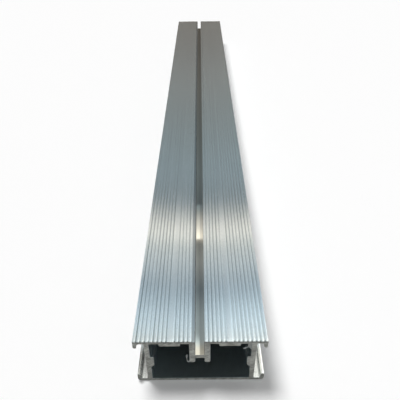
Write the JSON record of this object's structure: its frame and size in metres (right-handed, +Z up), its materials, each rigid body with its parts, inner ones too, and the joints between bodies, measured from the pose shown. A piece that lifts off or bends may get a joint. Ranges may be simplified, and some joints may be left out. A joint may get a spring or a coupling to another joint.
{
  "type": "aluminium extrusion profile",
  "caption": "Length of hollow aluminium extrusion with a finely ridged deck, a screw channel down its middle, grooves along its sides and a flat base, as used for decking joists.",
  "frame": {"origin": "middle of the flat underside, halfway along the length", "axes": "+Y along the length, +Z up through the ridged deck, +X across the section"},
  "size_m": [0.05, 0.45, 0.025],
  "materials": {
    "aluminium": "mill finish, drawn lengthwise, with sawn ends"
  },
  "bodies": {
    "root": {"extruded_profile": "aluminium"}
  },
  "joints": []
}
